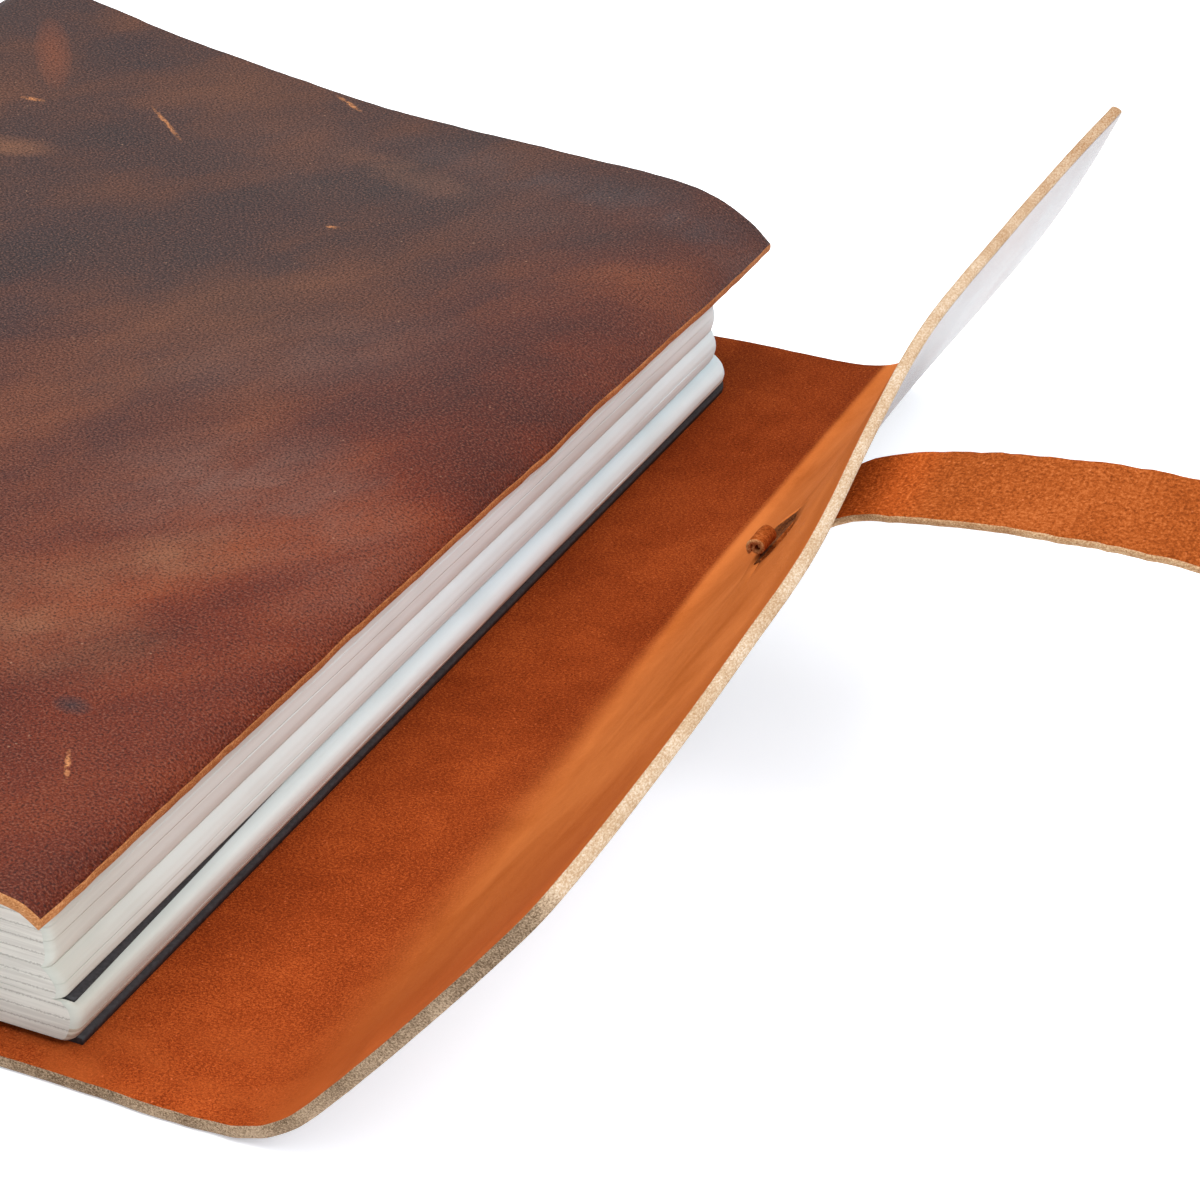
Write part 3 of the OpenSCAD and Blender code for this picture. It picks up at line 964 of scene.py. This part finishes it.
# Fore edges of the three books as [distance back from the cover's fore edge, height], near and far.
LOWER_EDGE = (
    [(1.5, 2.85), (0.9, 3.3), (0.4, 4.3), (0.15, 5.0), (-0.2, 6.2), (-0.2, 7.2), (0.1, 8.0), (0.9, 8.3)],
    [(1.6, 2.85), (1.0, 3.1), (0.5, 3.7), (0.3, 4.2), (0.3, 4.9), (0.6, 5.7), (1.4, 6.5), (2.2, 6.8)],
)
MIDDLE_EDGE = (
    [(2.4, 9.1), (1.9, 9.5), (1.7, 10.2), (1.75, 11.0), (2.1, 11.9), (2.7, 12.8), (3.6, 13.6)],
    [(3.2, 7.0), (2.5, 7.5), (2.1, 8.5), (1.95, 9.6), (2.1, 10.7), (2.6, 11.7), (3.4, 12.4)],
)
UPPER_EDGE = (
    [(3.6, 13.6), (3.0, 14.5), (2.75, 15.8), (2.8, 17.4), (3.0, 19.2), (3.3, 21.0), (3.8, 22.3)],
    [(3.4, 12.4), (2.7, 13.1), (2.4, 14.2), (2.3, 15.4), (2.5, 16.6), (2.8, 17.8), (3.4, 18.6)],
)


def stack_rise(x):
    """How far the wedge of the stack has opened at x: 0 at the fore edges, 1 at the folds."""
    return max(0.0, (BOOK_X - x) / (BOOK_X - FOLD_X)) ** 1.2


def corner_back(y):
    """How far a rounded corner of the leaves pulls the fore edge back at y."""
    for d, radius in ((y - BOOK_NEAR, NEAR_LEAF_R), (BOOK_FAR - y, FAR_LEAF_R)):
        if d < radius:
            return radius - math.sqrt(max(0.0, radius ** 2 - (radius - d) ** 2))
    return 0.0


def book_columns():
    """Places along the books for the rings: finer at the ends."""
    ends = [0, 0.1, 0.35, 0.75, 1.3, 2.2, 3.6, 5.2, 7.5, 11]
    middle = list(np.arange(BOOK_NEAR + 15, BOOK_FAR - 14, 4.0))
    return [BOOK_NEAR + e for e in ends] + middle + [BOOK_FAR - e for e in ends[::-1]]


def leaf_block(name, edge, low_share, high_share, k, materials, seed, pinch):
    """One half of a book's leaves: a wedge with a soft, layered fore edge and rounded corners."""
    rings = []
    back_xs = [BOOK_X - 12] + BACK_XS + [FOLD_X + 3, FOLD_X + 0.8]
    for y in book_columns():
        v = (y - NEAR_Y) / LENGTH
        line = curve_through(between(*edge, v), EDGE_POINTS)
        first, last = (int(share * (EDGE_POINTS - 1)) for share in (low_share, high_share))
        part = line[first:last + 1]
        part = part[np.linspace(0, len(part) - 1, EDGE_ROWS).round().astype(int)]
        pull = corner_back(y)
        ring = []
        for m, (d, z) in enumerate(part):
            layer = 0.03 * (random.Random(seed * 100 + m).random() - 0.5)
            wave = 0.12 * wobble(y, z, 26, seed + 0.3)
            lift = pinch * smooth(1.6, 0.4, y - BOOK_NEAR) * (m / (EDGE_ROWS - 1)) ** 6
            ring.append((FORE_X - d - pull - layer - wave, z + lift))
        floor_z, roof_z = ring[0][1], ring[-1][1]
        z0, z1 = wedge_levels(k, low_share, high_share)
        ring += [(x, roof_z + stack_rise(x) * (z1 - roof_z)) for x in back_xs]
        ring += [(x, floor_z + stack_rise(x) * (z0 - floor_z)) for x in back_xs[::-1]]
        rings.append([(x, y, z) for x, z in ring])
    return tube(name, rings, materials, EDGE_ROWS)


def level(k):
    """Height at the folds of the foot of book k."""
    return HIDE_T + k / 3 * BOOKS_RISE


def wedge_levels(k, low_share, high_share):
    """Heights of a half's floor and roof at the fold."""
    return level(k) + low_share * BOOKS_RISE / 3 + 0.6, level(k) + high_share * BOOKS_RISE / 3 - 0.5


def tube(name, rings, materials, edge_rows):
    """A closed solid through rings of points, with flat ends. The first edge_rows points of a
    ring are the fore edge, which takes the second material."""
    size = len(rings[0])
    vertices = [p for ring in rings for p in ring]
    faces, slots = [], []
    for r in range(len(rings) - 1):
        for m in range(size):
            a, b = r * size + m, r * size + (m + 1) % size
            faces.append((a, a + size, b + size, b))
            slots.append(1 if m < edge_rows - 1 else 0)
    last = (len(rings) - 1) * size
    faces += [tuple(range(size)), tuple(range(last, last + size))[::-1]]
    slots += [len(materials) - 1] * 2
    obj = add_mesh(name, vertices, faces, slots, materials)
    for polygon in obj.data.polygons:
        if len(polygon.vertices) > 4:
            polygon.use_smooth = False
    return obj


def card_sheet(name, points_near, points_far, thick, rise_to, materials):
    """A card cover leaf: a thin sheet from its fore edge to the fold, a little short of the leaves."""
    rings = []
    for y in [y for y in book_columns() if y > BOOK_NEAR + CARD_INSET]:
        v = (y - NEAR_Y) / LENGTH
        recess = min(1.0, 1.7 * v)
        d = points_near[0] * (1 - recess) + points_far[0] * recess
        z = points_near[1] * (1 - v) + points_far[1] * v
        x_edge = FORE_X - d - corner_back(y)
        lower = [(x_edge, z), (x_edge - 6, z)]
        lower += [(x, z + stack_rise(x) * (rise_to - z)) for x in BACK_XS + [FOLD_X + 1]]
        upper = [(x, zz + thick) for x, zz in lower[::-1]]
        rings.append([(x, y, zz) for x, zz in lower + upper])
    return tube(name, rings, materials, 1)


def build_books():
    """The three books' leaves and cards."""
    pages = (PAPER, PAPER, PAPER_ENDS_SHADED)
    cut = (PAPER, PAPER_CUT, PAPER_ENDS_SHADED)
    plan = [
        ("lower_leaves_back", LOWER_EDGE, 0.0, 0.42, 0, cut, "lower_book_back_leaves", "back"),
        ("lower_leaves_front", LOWER_EDGE, 0.42, 1.0, 0, pages, "lower_book_front_leaves", "back"),
        ("middle_leaves_back", MIDDLE_EDGE, 0.0, 0.5, 1, pages, "middle_book_back_leaves", "back"),
        ("middle_leaves_front", MIDDLE_EDGE, 0.5, 1.0, 1, pages, "middle_book_front_leaves", "back"),
        ("upper_leaves_back", UPPER_EDGE, 0.0, 0.5, 2, pages, "upper_book_back_leaves", "back"),
        ("upper_leaves_front", UPPER_EDGE, 0.5, 0.97, 2, pages, "upper_book_front_leaves",
         "turning_leaves"),
    ]
    for seed, (name, edge, low, high, k, materials, node, body) in enumerate(plan, 1):
        pinch = LOWER_PINCH if name == "lower_leaves_front" else 0
        block = leaf_block(name, edge, low, high, k, materials, seed, pinch)
        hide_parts(node)
        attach(block, body)
    cards = [
        # lower_card_back is 0.95 mm thick, far thicker than a card, so that its black also stands for the
        # dark contact line under the stack: partly card, partly painted shade.
        ("lower_card_back", (0.4, 1.85), (0.4, 1.85), 0.95, level(0) + 0.05, "lower_book_card", "back"),
        ("lower_card_front", (0.9, 8.35), (5.0, 6.82), 0.35, level(1) - 0.45, None, "back"),
        ("middle_card_back", (3.2, 8.75), (4.2, 6.9), 0.3, level(1), "middle_book_card", "back"),
        ("middle_card_front", (6.0, 13.5), (6.0, 12.3), 0.12, level(2) - 0.4, None, "back"),
        ("upper_card_back", (6.0, 13.62), (6.0, 12.42), 0.12, level(2) + 0.1, "upper_book_back_card",
         "back"),
        ("upper_card_front", (4.2, 22.3), (4.0, 18.7), 0.35, STACK_HIGH - 0.5, "upper_book_front_card",
         "turning_leaves"),
    ]
    for name, near, far, thick, rise_to, node, body in cards:
        leaf = card_sheet(name, near, far, thick, rise_to, (CARD, CARD))
        if node:
            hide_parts(node)
        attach(leaf, body)


build_books()

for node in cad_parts.values():
    for ending, material in (("_thread", THREAD), ("_elastic", ELASTIC)):
        if node.name.endswith(ending):
            node.data.materials.clear()
            node.data.materials.append(material)


# ---- floor and light

# Half the floor's width, and how far it lies below the hide, in metres.
FLOOR_HALF = 6
FLOOR_DROP = 0.0002
# Where both lamps are aimed.
LIT_AT = Vector((0.03, 0, 0))


def make_stage():
    """A plain pale floor, a pale surround, and two soft lights from above left and right."""
    mesh = bpy.data.meshes.new("floor")
    corners = ((-1, -1), (1, -1), (1, 1), (-1, 1))
    mesh.from_pydata([(FLOOR_HALF * x, FLOOR_HALF * y, -FLOOR_DROP) for x, y in corners], [], [(0, 1, 2, 3)])
    n = Nodes("floor")
    mesh.materials.append(n.finish((0.90, 0.91, 0.93), 0.9, Specular_IOR_Level=0.0,
                                   Emission_Color=(0.93, 0.96, 1), Emission_Strength=0.405))
    add_object("floor", mesh)

    world = bpy.data.worlds.new("white_surround")
    world.use_nodes = True
    tree = world.node_tree
    way = tree.nodes.new("ShaderNodeTexCoord")
    height = tree.nodes.new("ShaderNodeSeparateXYZ")
    shade = tree.nodes.new("ShaderNodeValToRGB")
    tree.links.new(way.outputs["Generated"], height.inputs[0])
    tree.links.new(height.outputs["Z"], shade.inputs["Fac"])
    marks = shade.color_ramp.elements
    marks.new(0.5)
    for mark, (position, grey) in zip(marks, ((0.25, 0.42), (0.65, 0.62), (0.9, 1.0))):
        mark.position = position
        mark.color = (grey * 0.96, grey * 0.98, grey, 1)
    tree.links.new(shade.outputs["Color"], tree.nodes["Background"].inputs["Color"])
    bpy.context.scene.world = world

    for name, place, size, power, tint in (
        ("key", (-0.25, 0.05, 1.2), 1.0, 12.5, (1.0, 0.985, 0.97)),
        ("fill", (1.0, -0.10, 0.95), 0.9, 13, (0.97, 0.985, 1.0)),
    ):
        data = bpy.data.lights.new(name, "AREA")
        data.size, data.energy, data.color = size, power, tint
        lamp = add_object(name, data)
        lamp.location = place
        lamp.rotation_euler = (LIT_AT - Vector(place)).to_track_quat("-Z", "Y").to_euler()
    bpy.context.scene.view_settings.view_transform = "Standard"


make_stage()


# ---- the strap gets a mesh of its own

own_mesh(strap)
